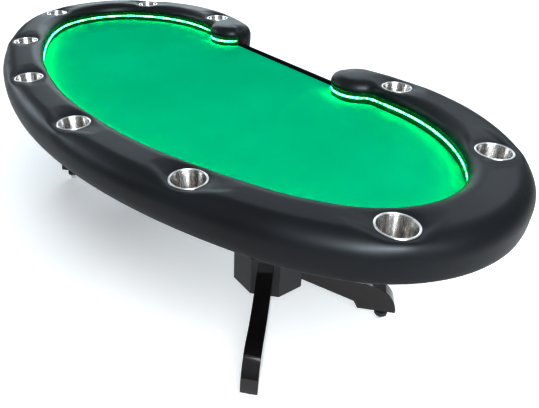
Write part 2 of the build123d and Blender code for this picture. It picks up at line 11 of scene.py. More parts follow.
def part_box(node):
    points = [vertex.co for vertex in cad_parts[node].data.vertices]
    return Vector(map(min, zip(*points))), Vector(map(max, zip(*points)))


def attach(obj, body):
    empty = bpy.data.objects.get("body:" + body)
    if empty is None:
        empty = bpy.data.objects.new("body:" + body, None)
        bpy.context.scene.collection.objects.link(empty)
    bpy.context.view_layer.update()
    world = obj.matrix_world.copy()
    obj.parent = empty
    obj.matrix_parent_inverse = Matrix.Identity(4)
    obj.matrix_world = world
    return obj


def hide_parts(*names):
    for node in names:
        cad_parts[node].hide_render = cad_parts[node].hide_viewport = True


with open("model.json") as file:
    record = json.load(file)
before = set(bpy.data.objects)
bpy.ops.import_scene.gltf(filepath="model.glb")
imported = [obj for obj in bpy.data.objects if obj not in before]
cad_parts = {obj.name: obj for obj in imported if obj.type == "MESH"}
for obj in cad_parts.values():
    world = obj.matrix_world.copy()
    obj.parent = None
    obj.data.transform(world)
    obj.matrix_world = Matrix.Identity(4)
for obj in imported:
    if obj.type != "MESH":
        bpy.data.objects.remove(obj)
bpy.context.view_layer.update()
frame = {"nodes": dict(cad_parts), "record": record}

# ---- plan of the rail, as the CAD part draws it: tangent arcs from the front point to the back ----
FRONT_ARCS = [(1.910, 27.5), (0.825, 14.5), (0.433, 88.0), (0.655, 50.0)]  # radius, turn in degrees
PAD_WIDTH = 0.151
BULB_RADIUS = 0.093
BULB_X = 0.396
BULB_SETBACK = 0.023
CROOK_RADIUS = 0.040
SKIRT_T = 0.011  # thickness of the padded side outside the core
LIP = 0.003  # how far the padding reaches over the inner wall
GAP = 0.0005  # clearance between parts

# ---- shape of the padding ----
STEP = 0.007  # spacing of points along the rail
OUTER_CORNER = (0.050, 0.048)  # width and height of the rounded outer edge
LIP_CORNER = (0.034, 0.031)
CORNER_STEPS = 8
CORNER_TOP = radians(50)  # the corner is drawn in rings up to here, and as part of the top from here on
UNDERCUT = 0.0030  # how far the padded side is drawn in at its foot
BLEND_LENGTH = 0.05  # over which the outer corner turns into the lip's corner
LATTICE = 0.0085  # spacing of the loose points of the padding's top
SEAT_RADIUS = 0.0495  # where the vinyl runs under a cup's rim
# rings of points round each cup: radius and number of points
SEAT_RINGS = ((0.0510, 96), (0.0532, 96), (0.0562, 88), (0.0605, 72), (0.0665, 60), (0.0745, 52))
SEAT_CLEAR = 0.079  # from this far from a cup's middle on, the lattice takes over from the rings
HOLE_RADIUS = 0.0452
CROWN = 0.0012
DIP_REACH = 0.017  # how far from a cup the vinyl is drawn down to its rim
END_ROUND = 0.007  # rounding of the padding's upright end in the dealer gap
END_HELD = 0.02  # how far from that end the padded side is held still in the simulation

CUP_NODES = sorted(name for name in frame["nodes"] if name.startswith("cup_holder_"))


def middle(node):
    """The middle of a CAD node's box."""
    low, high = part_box(node)
    return (low + high) / 2


pad_low, pad_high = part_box("rail_pad")
PAD_TOP = pad_high.z
SKIRT_BOTTOM = pad_low.z
LIP_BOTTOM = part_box("rail_core")[1].z + GAP
CLOTH_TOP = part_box("speed_cloth")[1].z
CLOTH_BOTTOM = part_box("speed_cloth")[0].z
CLOTH_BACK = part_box("dealer_trim")[0].y
STRIP_LOW, STRIP_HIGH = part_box("led_strip")
STRIP_Z = (STRIP_LOW.z + STRIP_HIGH.z) / 2
SEAT_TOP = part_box("cup_holder_1")[1].z - 0.0021  # height of the vinyl under the cups' rims
cup_centres = [Vector((middle(name).x, middle(name).y)) for name in CUP_NODES]


# ---------------------------------------------------------------- plan of the rail
def rim_arcs():
    """The outline's arcs on the +X side: centre, radius, heading at the start and turn, in degrees."""
    arcs = []
    x = y = heading = 0
    for radius, turn in FRONT_ARCS:
        cx = x - radius * sin(radians(heading))
        cy = y + radius * cos(radians(heading))
        arcs.append((cx, cy, radius, heading, turn))
        heading += turn
        x = cx + radius * sin(radians(heading))
        y = cy - radius * cos(radians(heading))
    depth = y
    return [(cx, cy - depth / 2, r, h, t) for cx, cy, r, h, t in arcs], x, depth / 2


ARCS, SHOULDER_X, BACK_Y = rim_arcs()
BULB_Y = BACK_Y - BULB_SETBACK - BULB_RADIUS
INNER_Y = BACK_Y - PAD_WIDTH
CROOK_Y = INNER_Y - CROOK_RADIUS
CROOK_X = BULB_X + sqrt((BULB_RADIUS + CROOK_RADIUS) ** 2 - (BULB_Y - CROOK_Y) ** 2)
CROOK_ANGLE = degrees(asin((BULB_Y - CROOK_Y) / (BULB_RADIUS + CROOK_RADIUS)))
SWEEP_RADIUS = (
    (SHOULDER_X - BULB_X) ** 2 + (BACK_Y - BULB_Y) ** 2 - BULB_RADIUS**2
) / (2 * BULB_SETBACK)
SWEEP_TURN = degrees(asin((SHOULDER_X - BULB_X) / (SWEEP_RADIUS - BULB_RADIUS)))


def bulb_angle(y):
    """The angle, in degrees, where the right bulb's gap side crosses y."""
    return 180 + degrees(asin((BULB_Y - y) / BULB_RADIUS))


def arc(cx, cy, radius, first, last, side, step=STEP):
    """Points along an arc, without its last: x, y and the unit normal that points out of the rail."""
    count = max(2, ceil(abs(radians(last - first)) * radius / step))
    for k in range(count):
        angle = radians(first + (last - first) * k / count)
        yield cx + radius * cos(angle), cy + radius * sin(angle), side * cos(angle), side * sin(angle)


def run(first_x, last_x, y, side, step=STEP):
    """Points along a straight stretch parallel to X, without its last."""
    count = max(2, ceil(abs(last_x - first_x) / step))
    for k in range(count):
        yield first_x + (last_x - first_x) * k / count, y, 0, side


def half_outline(turn_y):
    """Points of the rail's outline on the +X side, from the front round the bulb to the inner front.
    turn_y is where the bulb's gap side has a point of its own: how many come before it is returned too."""
    found = []
    for cx, cy, radius, heading, turn in ARCS:
        found += arc(cx, cy, radius, heading - 90, heading + turn - 90, 1)
    found += arc(SHOULDER_X, BACK_Y - SWEEP_RADIUS, SWEEP_RADIUS, 90, 90 + SWEEP_TURN, 1)
    turn_angle = bulb_angle(turn_y)
    fine = degrees(2 * END_ROUND / BULB_RADIUS)
    found += arc(BULB_X, BULB_Y, BULB_RADIUS, 90 + SWEEP_TURN, turn_angle - fine, 1)
    found += arc(BULB_X, BULB_Y, BULB_RADIUS, turn_angle - fine, turn_angle, 1, STEP / 5)
    before = len(found)
    found += arc(BULB_X, BULB_Y, BULB_RADIUS, turn_angle, 360 - CROOK_ANGLE, 1)
    found += arc(CROOK_X, CROOK_Y, CROOK_RADIUS, 180 - CROOK_ANGLE, 90, -1, STEP / 2)
    found += run(CROOK_X, SHOULDER_X, INNER_Y, -1)
    for cx, cy, radius, heading, turn in reversed(ARCS):
        found += arc(cx, cy, radius - PAD_WIDTH, heading + turn - 90, heading - 90, -1)
    found.append((0, -BACK_Y + PAD_WIDTH, 0, 1))
    return found, before


def whole_outline(turn_y):
    """The closed outline, anticlockwise, as points and normals, and the numbers of its two turn points."""
    half, before = half_outline(turn_y)
    other = [(-x, y, -nx, ny) for x, y, nx, ny in reversed(half[1:-1])]
    whole = np.array(half + other)
    return whole[:, :2], whole[:, 2:], before, len(whole) - before


def depth_inside(tree, normals, x, y):
    """Signed distance from a closed line of points to (x, y), positive inside."""
    point, index, _ = tree.find((x, y, 0))
    return (point.x - x) * normals[index][0] + (point.y - y) * normals[index][1]


def tree_of(points):
    """A search tree over points in plan."""
    tree = KDTree(len(points))
    for index, (x, y) in enumerate(points):
        tree.insert((x, y, 0), index)
    tree.balance()
    return tree


def fill_plan(loops, inner):
    """Triangles inside the first loop of points and outside the others, which are round holes. They run
    through the loose inner points too. Points are given as numbers into loops, then inner."""
    points = [Vector(p) for loop in loops for p in loop] + [Vector(p) for p in inner]
    edges = []
    owner = []
    for number, loop in enumerate(loops):
        start = len(owner)
        edges += [(start + k, start + (k + 1) % len(loop)) for k in range(len(loop))]
        owner += [number] * len(loop)
    owner += [0] * len(inner)
    _, _, faces, origin, _, _ = delaunay_2d_cdt(points, edges, [], 2, 1e-7)
    found = [[origin[k][0] for k in face] for face in faces]
    return [face for face in found if owner[face[0]] == 0 or len({owner[k] for k in face}) > 1]


def lattice(spacing):
    """Points of a triangular lattice over the table's plan."""
    rows = ceil(BACK_Y / (spacing * sin(pi / 3)))
    columns = ceil(pad_high.x / spacing)
    for row in range(-rows, rows + 1):
        for column in range(-columns, columns + 1):
            yield (column + (row % 2) / 2) * spacing, row * spacing * sin(pi / 3)


def ring(centre, radius, count):
    """Points of a circle in plan."""
    return [
        (centre[0] + radius * cos(tau * k / count), centre[1] + radius * sin(tau * k / count))
        for k in range(count)
    ]


def cup_distance(x, y):
    """Distance in plan from the nearest cup's middle."""
    return min(hypot(x - c.x, y - c.y) for c in cup_centres)


# ---------------------------------------------------------------- materials
def shader(name, **inputs):
    """A new material: its node tree and its Principled shader, with the given inputs set."""
    made = bpy.data.materials.new(name)
    made.use_nodes = True
    tree = made.node_tree
    surface = tree.nodes["Principled BSDF"]
    for key, value in inputs.items():
        surface.inputs[key.replace("_", " ")].default_value = value
    return made, tree, surface


def place(tree, scale=(1, 1, 1)):
    """Coordinates in metres on the piece, times scale."""
    coordinates = tree.nodes.new("ShaderNodeTexCoord")
    mapping = tree.nodes.new("ShaderNodeMapping")
    mapping.inputs["Scale"].default_value = scale
    tree.links.new(coordinates.outputs["Object"], mapping.inputs["Vector"])
    return mapping.outputs["Vector"]


def cloudy(tree, vector, scale, detail=4.0, roughness=0.55, distortion=0.0):
    """Noise, about 0.5 on average."""
    node = tree.nodes.new("ShaderNodeTexNoise")
    node.inputs["Scale"].default_value = scale
    node.inputs["Detail"].default_value = detail
    node.inputs["Roughness"].default_value = roughness
    node.inputs["Distortion"].default_value = distortion
    tree.links.new(vector, node.inputs["Vector"])
    return node.outputs["Fac"]


def cells(tree, vector, scale, feature="F1"):
    """Distance from the middles of random cells."""
    node = tree.nodes.new("ShaderNodeTexVoronoi")
    node.feature = feature
    node.inputs["Scale"].default_value = scale
    tree.links.new(vector, node.inputs["Vector"])
    return node.outputs["Distance"]


def waves(tree, vector, scale, direction, distortion=0.0, detail=0.0):
    """Parallel bands."""
    node = tree.nodes.new("ShaderNodeTexWave")
    node.bands_direction = direction
    node.inputs["Scale"].default_value = scale
    node.inputs["Distortion"].default_value = distortion
    node.inputs["Detail"].default_value = detail
    tree.links.new(vector, node.inputs["Vector"])
    return node.outputs["Fac"]


def colours(tree, factor, *stops):
    """A colour ramp: stops are (place, colour)."""
    node = tree.nodes.new("ShaderNodeValToRGB")
    ramp = node.color_ramp
    while len(ramp.elements) < len(stops):
        ramp.elements.new(0.5)
    for element, (position, colour) in zip(ramp.elements, stops):
        element.position = position
        element.color = (*colour, 1)
    tree.links.new(factor, node.inputs["Fac"])
    return node.outputs["Color"]


def between(tree, factor, low, high, start=0.3, end=0.7):
    """A number that goes from low to high as factor goes from start to end."""
    node = tree.nodes.new("ShaderNodeMapRange")
    for key, value in (("From Min", start), ("From Max", end), ("To Min", low), ("To Max", high)):
        node.inputs[key].default_value = value
    tree.links.new(factor, node.inputs["Value"])
    return node.outputs["Result"]


def combine(tree, kind, first, second):
    """A sum, product or the like of two values."""
    node = tree.nodes.new("ShaderNodeMath")
    node.operation = kind
    for socket, value in zip(node.inputs, (first, second)):
        if isinstance(value, (int, float)):
            socket.default_value = value
        else:
            tree.links.new(value, socket)
    return node.outputs["Value"]


def weighted(tree, *parts):
    """A weighted sum: parts are (value, weight)."""
    total = 0.0
    for value, weight in parts:
        total = combine(tree, "ADD", combine(tree, "MULTIPLY", value, weight), total)
    return total


def relief(tree, surface, *layers):
    """Bump on a shader: layers are (height, depth in metres, strength)."""
    below = None
    for height, depth, strength in layers:
        node = tree.nodes.new("ShaderNodeBump")
        node.inputs["Distance"].default_value = depth
        node.inputs["Strength"].default_value = strength
        tree.links.new(height, node.inputs["Height"])
        if below is not None:
            tree.links.new(below, node.inputs["Normal"])
        below = node.outputs["Normal"]
    tree.links.new(below, surface.inputs["Normal"])


def one_axis(tree, vector, axis):
    """One component of a vector."""
    node = tree.nodes.new("ShaderNodeSeparateXYZ")
    tree.links.new(vector, node.inputs["Vector"])
    return node.outputs[axis]


def blend(tree, factor, first, colour):
    """A colour that goes from first to a fixed colour as factor goes from 0 to 1."""
    node = tree.nodes.new("ShaderNodeMix")
    node.data_type = "RGBA"
    tree.links.new(factor, node.inputs["Factor"])
    tree.links.new(first, node.inputs[6])
    node.inputs[7].default_value = (*colour, 1)
    return node.outputs[2]


def join(tree, value, surface, name):
    """Feeds a value into one of the shader's inputs."""
    tree.links.new(value, surface.inputs[name])


def make_vinyl():
    """Black vinyl: pebbled grain over a slightly uneven pull."""
    made, tree, surface = shader("vinyl", Specular_IOR_Level=0.22)
    metres = place(tree)
    patches = cloudy(tree, metres, 5, 3)
    grain = cells(tree, metres, 620, "SMOOTH_F1")
    pores = cloudy(tree, metres, 1500, 2)
    drape = cloudy(tree, place(tree, (1, 1, 0.6)), 26, 2, 0.4)
    join(tree, colours(tree, patches, (0.3, (0.008, 0.009, 0.011)), (0.7, (0.012, 0.014, 0.017))),
         surface, "Base Color")
    join(tree, between(tree, combine(tree, "ADD", patches, grain), 0.36, 0.47, 0.4, 1.1),
         surface, "Roughness")
    relief(tree, surface, (drape, 0.0006, 0.35), (grain, 0.00025, 0.30), (pores, 0.0001, 0.25))
    return made


def make_cloth():
    """Green speed cloth: a fine plain weave with slubs, a little patchy."""
    made, tree, surface = shader("green_cloth", Roughness=0.9, Specular_IOR_Level=0.0)
    metres = place(tree)
    warp = waves(tree, metres, 330, "X", 0.6)
    weft = waves(tree, metres, 330, "Y", 0.6)
    weave = combine(tree, "MULTIPLY", warp, weft)
    slub = cloudy(tree, place(tree, (1, 14, 1)), 60, 3)
    patches = cloudy(tree, metres, 2.2, 2)
    tone = weighted(tree, (patches, 0.7), (slub, 0.2), (weave, 0.2))
    join(tree, colours(tree, tone, (0.35, (0.0, 0.45, 0.225)), (0.75, (0.0, 0.54, 0.28))),
         surface, "Base Color")
    relief(tree, surface, (weave, 0.00025, 0.5), (slub, 0.0001, 0.3))
    return made


def make_gloss_black():
    """Gloss black wall with faint smears and dust, and a painted green glow from the strip."""
    made, tree, surface = shader("gloss_black", Base_Color=(0.006, 0.007, 0.007, 1), Specular_IOR_Level=0.3)
    metres = place(tree)
    smears = cloudy(tree, metres, 18, 4)
    dust = cloudy(tree, metres, 900, 1)
    join(tree, between(tree, smears, 0.07, 0.16), surface, "Roughness")
    relief(tree, surface, (smears, 0.0004, 0.12), (dust, 0.00002, 0.2))

    # painted green glow of the strip on the wall: strongest beside the strip, and a painted reflection of
    # the chips, a broken line under the lip
    height = one_axis(tree, metres, "Z")

    def off(level):
        """Distance up or down from a level."""
        return combine(tree, "ABSOLUTE", combine(tree, "SUBTRACT", height, level), 0)

    painted_strip_glow = between(tree, off(STRIP_Z), 0.13, 0.02, 0.004, 0.022)
    # a thin line just under the lip, broken into dots: painted reflection of the chips in the lip's edge
    line = between(tree, off(LIP_BOTTOM - 0.0022), 0.5, 0, 0.0006, 0.0012)
    chip_reflection_dots = between(tree, cells(tree, metres, 90), 1, 0.1, 0.25, 0.55)
    light = combine(tree, "ADD", painted_strip_glow, combine(tree, "MULTIPLY", line, chip_reflection_dots))
    surface.inputs["Emission Color"].default_value = (0.0, 1.0, 0.06, 1)
    join(tree, light, surface, "Emission Strength")
    return made


def make_steel():
    """Cup steel: brushed inside, with painted reflection streaks running up and down, even on the rim."""
    made, tree, surface = shader("cup_steel", Metallic=1.0, Anisotropic=0.75)
    brush = cloudy(tree, place(tree, (900, 900, 8)), 1, 3, 0.7)
    # bands: painted reflection streaks, dark and bright, running up and down inside the cup; brush is the
    # real brushing
    bands = cloudy(tree, place(tree, (46, 46, 0.8)), 1, 2, 0.5)
    tone = weighted(tree, (bands, 0.8), (brush, 0.2))
    inside = colours(tree, tone, (0.36, (0.20, 0.185, 0.17)), (0.50, (0.42, 0.40, 0.375)),
                     (0.62, (0.82, 0.80, 0.78)))
    rim = between(tree, one_axis(tree, place(tree), "Z"), 0, 1, SEAT_TOP - 0.0005, SEAT_TOP + 0.0003)
    join(tree, blend(tree, rim, inside, (0.56, 0.55, 0.54)), surface, "Base Color")
    join(tree, weighted(tree, (between(tree, brush, 0.18, 0.30), 1), (rim, 0.15)), surface, "Roughness")
    tangent = tree.nodes.new("ShaderNodeTangent")
    tangent.direction_type = "RADIAL"
    tangent.axis = "Z"
    join(tree, tangent.outputs["Tangent"], surface, "Tangent")
    surface.inputs["Anisotropic Rotation"].default_value = 0.25
    relief(tree, surface, (brush, 0.00002, 0.2))
    return made


def make_glow(name, colour, strength, body):
    """Lit plastic: glows evenly, a little stronger in its middle grain."""
    made, tree, surface = shader(name, Base_Color=(*body, 1), Roughness=0.35)
    grain = cloudy(tree, place(tree), 400, 2)
    surface.inputs["Emission Color"].default_value = (*colour, 1)
    join(tree, between(tree, grain, strength * 0.85, strength * 1.15), surface, "Emission Strength")
    relief(tree, surface, (grain, 0.00005, 0.3))
    return made


def make_wood(name, dark, light, roughness, stretch, plies=False):
    """Wood with its grain along X, near black on faces that point down. Plywood shows its layers where it
    is cut.
    """
    made, tree, surface = shader(name)
    rings = cloudy(tree, place(tree, stretch), 9, 6, 0.6, 1.2)
    fibre = cloudy(tree, place(tree, (6, 260, 260)), 1, 3, 0.7)
    tone = weighted(tree, (rings, 0.75), (fibre, 0.25))
    if plies:
        layers = waves(tree, place(tree), 105, "Z", 0.2)
        tone = weighted(tree, (tone, 0.75), (layers, 0.25))
    bare = colours(tree, tone, (0.35, dark), (0.65, light))
    normal = tree.nodes.new("ShaderNodeNewGeometry").outputs["Normal"]
    # faces that point down are blended to near black
    face_down_black = between(tree, one_axis(tree, normal, "Z"), 1, 0, -0.9, -0.7)
    join(tree, blend(tree, face_down_black, bare, (0.012, 0.011, 0.010)), surface, "Base Color")
    join(tree, between(tree, fibre, roughness - 0.08, roughness + 0.08), surface, "Roughness")
    relief(tree, surface, (fibre, 0.0002, 0.4))
    return made


def make_painted(name, colour, roughness, coat, orange_peel):
    """Sprayed lacquer over wood: a faint grain under the film, orange peel on it."""
    made, tree, surface = shader(name, Coat_Weight=coat, Coat_Roughness=roughness * 0.5)
    grain = cloudy(tree, place(tree, (12, 12, 2)), 14, 5, 0.6, 0.8)
    peel = cloudy(tree, place(tree), 260, 2)
    worn = [min(1, c * 1.5) for c in colour]
    join(tree, colours(tree, grain, (0.35, colour), (0.75, worn)), surface, "Base Color")
    join(tree, between(tree, grain, roughness * 0.85, roughness * 1.2), surface, "Roughness")
    relief(tree, surface, (grain, 0.0003, 0.08), (peel, 0.00006, orange_peel))
    return made


def make_metal(name, dark, light, roughness):
    """Bare metal with a little tarnish and fine scratches."""
    made, tree, surface = shader(name, Metallic=1.0)
    metres = place(tree)
    tarnish = cloudy(tree, metres, 60, 4)
    scratches = cloudy(tree, place(tree, (1, 1, 6)), 300, 3)
    join(tree, colours(tree, tarnish, (0.3, dark), (0.7, light)), surface, "Base Color")
    join(tree, between(tree, scratches, roughness * 0.7, roughness * 1.3), surface, "Roughness")
    relief(tree, surface, (scratches, 0.00004, 0.3))
    return made


def make_plastic(name, dark, light, roughness, shine=0.5):
    """Moulded plastic with a spark-eroded texture."""
    made, tree, surface = shader(name, Specular_IOR_Level=shine)
    spark = cloudy(tree, place(tree), 1400, 3)
    flow = cloudy(tree, place(tree), 25, 2)
    join(tree, colours(tree, flow, (0.3, dark), (0.7, light)), surface, "Base Color")
    join(tree, between(tree, spark, roughness * 0.85, roughness * 1.15), surface, "Roughness")
    relief(tree, surface, (spark, 0.00006, 0.5))
    return made


def make_foam():
    """Closed-cell foam."""
    made, tree, surface = shader("foam", Roughness=0.95, Specular_IOR_Level=0.1)
    bubbles = cells(tree, place(tree), 900)
    join(tree, colours(tree, bubbles, (0.1, (0.60, 0.60, 0.57)), (0.7, (0.78, 0.78, 0.74))),
         surface, "Base Color")
    relief(tree, surface, (bubbles, 0.0005, 0.6))
    return made


def make_circuit():
    """Circuit board: solder mask with copper tracks under it."""
    made, tree, surface = shader("circuit", Roughness=0.35)
    tracks = combine(tree, "MULTIPLY", waves(tree, place(tree), 80, "X", 3, 1),
                     waves(tree, place(tree), 60, "Y", 2, 1))
    join(tree, colours(tree, tracks, (0.25, (0.012, 0.10, 0.035)), (0.32, (0.03, 0.22, 0.08))),
         surface, "Base Color")
    relief(tree, surface, (tracks, 0.0001, 0.6))
    return made


MATERIALS = {
    "vinyl": make_vinyl(),
    "green_cloth": make_cloth(),
    "gloss_black": make_gloss_black(),
    "trim_black": make_plastic("trim_black", (0.006, 0.007, 0.007), (0.010, 0.011, 0.011), 0.45, 0.0),
    "cup_steel": make_steel(),
    "light_strip": make_glow("light_strip", (0.05, 1.0, 0.22), 0.9, (0.35, 0.42, 0.36)),
    "foam": make_foam(),
    "plywood": make_wood("plywood", (0.24, 0.14, 0.065), (0.42, 0.28, 0.15), 0.6, (1, 9, 9), plies=True),
    "timber": make_wood("timber", (0.42, 0.26, 0.12), (0.66, 0.46, 0.25), 0.55, (1, 12, 12)),
    "lacquer": make_painted("lacquer", (0.010, 0.008, 0.008), 0.09, 0.25, 0.10),
    "satin_black": make_painted("satin_black", (0.018, 0.020, 0.023), 0.45, 0.0, 0.35),
    "zinc": make_metal("zinc", (0.52, 0.53, 0.52), (0.72, 0.72, 0.70), 0.35),
    "brass": make_metal("brass", (0.55, 0.40, 0.17), (0.78, 0.60, 0.30), 0.3),
    "leveler_steel": make_metal("leveler_steel", (0.70, 0.71, 0.73), (0.82, 0.83, 0.85), 0.14),
    "black_plastic": make_plastic("black_plastic", (0.016, 0.017, 0.018), (0.026, 0.027, 0.029), 0.5),
    "circuit": make_circuit(),
}
chip_glow = make_glow("chip_glow", (0.26, 1.0, 0.45), 3.6, (0.9, 0.95, 0.9))

slots = {part["node"]: part["material_slot"] for part in frame["record"]["subparts"]}
for name, node in frame["nodes"].items():
    node.data.materials.clear()
    node.data.materials.append(MATERIALS["trim_black" if name == "dealer_trim" else slots[name]])


# ---------------------------------------------------------------- mesh pieces
def make_object(name, points, faces, finish, crease=40):
    """A mesh object with smooth shading, sharp where faces meet at more than crease degrees."""
    mesh = bpy.data.meshes.new(name)
    mesh.from_pydata([tuple(p) for p in points], [], [tuple(f) for f in faces])
    mesh.materials.append(finish)
    mesh.shade_smooth()
    mesh.set_sharp_from_angle(angle=radians(crease))
    made = bpy.data.objects.new(name, mesh)
    bpy.context.scene.collection.objects.link(made)
    return made


def stand_for(piece, node, body, also=()):
    """piece stands in for CAD nodes, which are hidden, and rides on their body."""
    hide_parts(node, *also)
    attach(piece, body)
    return piece


def lathe(profile, count, closed=False, wave=None):
    """Turns a profile of (radius, z) about Z. wave(k, radius, z) may change each point's radius."""
    points, rows = [], []
    for radius, z in profile:
        if radius == 0:
            rows.append([len(points)] * count)
            points.append((0, 0, z))
            continue
        rows.append(list(range(len(points), len(points) + count)))
        for k in range(count):
            angle = tau * k / count
            r = wave(k, radius, z) if wave else radius
            points.append((r * cos(angle), r * sin(angle), z))
    faces = []
    for j in range(len(rows) if closed else len(rows) - 1):
        low, high = rows[j], rows[(j + 1) % len(rows)]
        for k in range(count):
            n = (k + 1) % count
            faces.append(list(dict.fromkeys((low[k], low[n], high[n], high[k]))))
    return points, faces


def turned(name, node, finish, profile, count, **how):
    """A lathe-made piece that stands where its CAD node stands."""
    points, faces = lathe(profile, count, **how)
    piece = make_object(name, points, faces, finish, 35)
    piece.location = (middle(node).x, middle(node).y, 0)
    return piece


def curve(points, rounds):
    """A profile through points, with each inner corner rounded by the radius given for it."""
    made = [points[0]]
    for before, corner, after, radius in zip(points, points[1:], points[2:], rounds):
        if not radius:
            made.append(corner)
            continue
        p, q, r = Vector(before), Vector(corner), Vector(after)
        one, two = (p - q).normalized(), (r - q).normalized()
        half_angle = one.angle(two) / 2
        reach = radius / max(1e-6, np.tan(half_angle))
        centre = q + (one + two).normalized() * (radius / sin(half_angle))
        first, last = q + one * reach, q + two * reach
        for k in range(7):
            spot = first.lerp(last, k / 6) - centre
            made.append(tuple(centre + spot.normalized() * radius))
    made.append(points[-1])
    return made


# ---------------------------------------------------------------- padded rail
def wobble(x, y, size, seed):
    """Smooth unevenness between -1 and 1."""
    return noise.noise(Vector((x / size, y / size, seed)))


def draw_down(x, y):
    """How strongly the vinyl at (x, y) is held down by the nearest cup's rim: 1 at the rim, 0 far off."""
    beyond = max(0.0, cup_distance(x, y) - SEAT_RADIUS)
    return exp(-((beyond / DIP_REACH) ** 1.5))


def pucker(x, y):
    """Fine creases that run out from the cup nearest to the rail's lip, where the vinyl is tightest."""
    height = 0.0
    for centre in cup_centres:
        dx, dy = x - centre.x, y - centre.y
        beyond = hypot(dx, dy) - SEAT_RADIUS
        if not 0 < beyond < 0.03:
            continue
        angle = np.arctan2(dy, dx)
        gather = 0.35 + 0.65 * max(0.0, noise.noise(Vector((angle * 1.3, centre.x * 9, 4))) * 2)
        drift = 3 * noise.noise(Vector((angle * 2, centre.y * 7, 1)))
        fade = exp(-beyond / 0.009)
        height += gather * 0.00045 * sin(angle * 44 + drift) * fade
    return height


def corner_sizes(points, first_wall, last_wall):
    """At each point of the outline: width and height of the rounded edge, the angle up to which it is
    drawn in rings, and the distance along the outline into the wall zone."""
    steps = np.hypot(*(np.roll(points, -1, 0) - points).T)
    along = np.concatenate([[0], np.cumsum(steps)[:-1]])
    sizes = []
    for k, (x, y) in enumerate(points):
        into = min(along[k] - along[first_wall], along[last_wall] - along[k])
        share = min(1, max(0, 0.5 + into / BLEND_LENGTH))
        share = share * share * (3 - 2 * share)
        width, height = (o + (i - o) * share for o, i in zip(OUTER_CORNER, LIP_CORNER))
        room = cup_distance(x, y) - SEAT_RADIUS - 0.0015
        top = min(CORNER_TOP, acos(max(0.0, 1 - room / width)))
        sizes.append((width, height, top, into))
    return sizes


def relax(piece, pins, frames=20, cap=0.0035):
    """Swells the vinyl over its foam by cloth simulation, and caps how far each point moves."""
    scene = bpy.context.scene
    rest = np.array([v.co for v in piece.data.vertices])
    group = piece.vertex_groups.new(name="pins")
    group.add(pins, 1.0, "REPLACE")
    cloth = piece.modifiers.new("Cloth", "CLOTH")
    settings = cloth.settings
    settings.quality = 4
    settings.mass = 0.3
    settings.tension_stiffness = 25
    settings.compression_stiffness = 25
    settings.shear_stiffness = 8
    settings.bending_stiffness = 2
    settings.use_pressure = True
    settings.uniform_pressure_force = 4
    settings.effector_weights.gravity = 0
    settings.vertex_group_mass = "pins"
    cloth.point_cache.frame_start = 1
    cloth.point_cache.frame_end = frames
    for number in range(1, frames + 1):
        scene.frame_set(number)
    bpy.context.view_layer.update()
    shaped = piece.evaluated_get(bpy.context.evaluated_depsgraph_get())
    moved = np.array([v.co for v in shaped.data.vertices])
    shift = moved - rest
    length = np.linalg.norm(shift, axis=1, keepdims=True)
    shift *= np.minimum(1, cap / np.maximum(length, 1e-9))
    piece.modifiers.remove(cloth)
    piece.vertex_groups.remove(group)
    scene.frame_set(1)
    piece.data.vertices.foreach_set("co", (rest + shift).astype(np.float32).ravel())
    piece.data.update()


